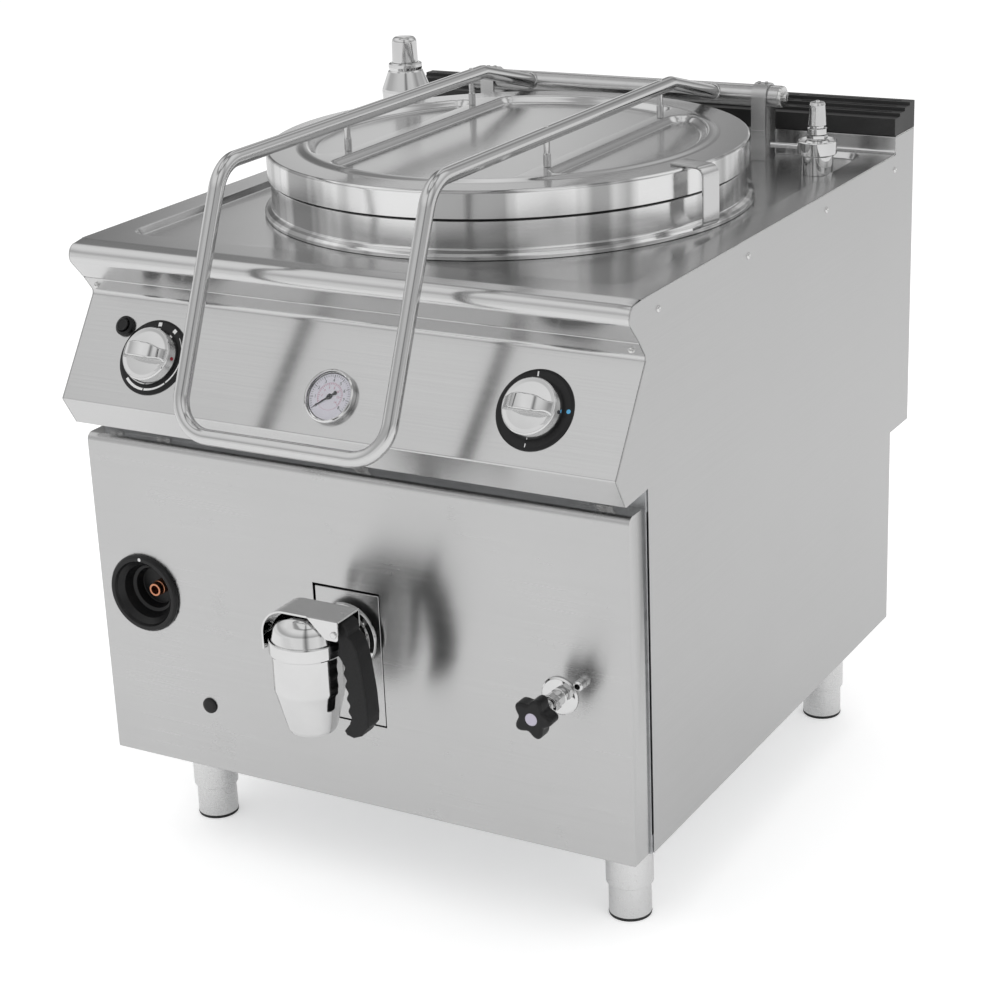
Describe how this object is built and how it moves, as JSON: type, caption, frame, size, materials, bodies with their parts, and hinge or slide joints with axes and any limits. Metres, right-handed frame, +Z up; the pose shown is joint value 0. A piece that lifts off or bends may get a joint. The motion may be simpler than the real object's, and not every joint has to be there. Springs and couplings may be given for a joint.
{
  "type": "steam jacketed kettle",
  "caption": "Cabinet-mounted gas boiling kettle with a jacketed round vessel, hinged lid with a bent-tube frame, sloped control panel and a lever drain tap.",
  "frame": {"origin": "on the floor, below the centre of the bounding box", "axes": "+X to the kettle's right seen from the front, +Y to the back, +Z up"},
  "size_m": [0.8, 1.066, 1],
  "materials": {
    "satin_steel": "satin",
    "bright_steel": "bright",
    "chrome": "polished",
    "black_plastic": "satin",
    "black_enamel": "matte",
    "gasket_rubber": "matte",
    "copper": "satin copper",
    "brass": "satin",
    "cast_iron": "rough",
    "dial_white": "satin",
    "gauge_glass": "clear",
    "galvanised_steel": "galvanised"
  },
  "bodies": {
    "cabinet": {"worktop": "bright_steel", "side_panel_left": "satin_steel", "side_panel_right": "satin_steel", "rear_panel": "satin_steel", "control_panel": "satin_steel", "front_panel": "satin_steel", "base_frame": "galvanised_steel", "leg_sleeve_front_left": "satin_steel", "leg_sleeve_front_right": "satin_steel", "leg_sleeve_rear_left": "satin_steel", "leg_sleeve_rear_right": "satin_steel", "leg_foot_front_left": "satin_steel", "leg_foot_front_right": "satin_steel", "leg_foot_rear_left": "satin_steel", "leg_foot_rear_right": "satin_steel", "kettle_vessel": "bright_steel", "kettle_collar": "bright_steel", "steam_jacket": "satin_steel", "burner": "cast_iron", "flue_box": "galvanised_steel", "flue_grille": "black_enamel", "drain_pipe": "satin_steel", "tap_body": "chrome", "tap_cap": "chrome", "tap_yoke": "chrome", "drain_backplate": "bright_steel", "pilot_port_bezel": "black_plastic", "pilot_port_tube": "copper", "hole_plug": "black_plastic", "level_cock_body": "chrome", "level_nozzle": "chrome", "dial_plate_left": "black_plastic", "dial_plate_right": "black_plastic", "gas_valve": "brass", "water_valve": "brass", "igniter_bezel": "black_plastic", "gauge_case": "dial_white", "gauge_glass": "gauge_glass", "safety_valve_body": "chrome", "fill_cock_body": "chrome", "hinge_bracket_left": "satin_steel", "hinge_bracket_right": "satin_steel"},
    "lid": {"lid": "bright_steel", "lid_liner": "bright_steel", "lid_gasket": "gasket_rubber", "lid_frame": "satin_steel", "hinge_shaft": "satin_steel", "shaft_end_left": "chrome", "shaft_end_right": "chrome", "lid_strap": "bright_steel"},
    "knob_left": {"knob_left": "chrome"},
    "knob_right": {"knob_right": "chrome"},
    "igniter_button": {"igniter_button": "black_plastic"},
    "gauge_needle": {"gauge_needle": "black_plastic"},
    "tap_handle": {"tap_handle": "black_plastic"},
    "tap_plunger": {"tap_plunger": "chrome"},
    "level_cock_knob": {"level_cock_knob": "black_plastic"},
    "fill_cock_ring": {"fill_cock_ring": "chrome"},
    "safety_valve_cap": {"safety_valve_cap": "chrome"}
  },
  "joints": [
    {"name": "lid_hinge", "type": "hinge", "parent": "cabinet", "child": "lid", "pos_m": [0, 0.41, 0.93], "axis": [-1, 0, 0], "range_deg": [0, 85], "stiffness_Nm_per_rad": 44, "springref_deg": 94.54},
    {"name": "knob_left_turn", "type": "hinge", "parent": "cabinet", "child": "knob_left", "pos_m": [-0.276, -0.38639, 0.71206], "axis": [0, -0.8261, 0.5635], "range_deg": [0, 270]},
    {"name": "knob_right_turn", "type": "hinge", "parent": "cabinet", "child": "knob_right", "pos_m": [0.276, -0.38639, 0.71206], "axis": [0, -0.8261, 0.5635], "range_deg": [-90, 90]},
    {"name": "igniter_push", "type": "slide", "parent": "cabinet", "child": "igniter_button", "axis": [0, 0.8261, -0.5635], "range_m": [0, 0.004], "stiffness_N_per_m": 600},
    {"name": "gauge_needle_turn", "type": "hinge", "parent": "cabinet", "child": "gauge_needle", "pos_m": [0, -0.3971, 0.69637], "axis": [0, 0.8261, -0.5635], "range_deg": [0, 270], "stiffness_Nm_per_rad": 0.001},
    {"name": "tap_handle_lift", "type": "hinge", "parent": "cabinet", "child": "tap_handle", "pos_m": [0.057, -0.485, 0.437], "axis": [0, -1, 0], "range_deg": [0, 70]},
    {"name": "tap_plunger_lift", "type": "slide", "parent": "cabinet", "child": "tap_plunger", "axis": [0, 0, 1], "range_m": [0, 0.004]},
    {"name": "level_cock_turn", "type": "hinge", "parent": "cabinet", "child": "level_cock_knob", "pos_m": [0.2986, -0.4515, 0.353], "axis": [0, -1, 0], "range_deg": [0, 270]},
    {"name": "fill_cock_turn", "type": "hinge", "parent": "cabinet", "child": "fill_cock_ring", "pos_m": [0.328, 0.345, 0.8777], "axis": [0, 0, 1], "range_deg": [-90, 90]},
    {"name": "safety_valve_lift", "type": "slide", "parent": "cabinet", "child": "safety_valve_cap", "axis": [0, 0, 1], "range_m": [0, 0.005], "stiffness_N_per_m": 3000}
  ],
  "couplings": [
    {"joint": "tap_plunger_lift", "follows": "tap_handle_lift", "m_per_rad": 0.00327}
  ]
}
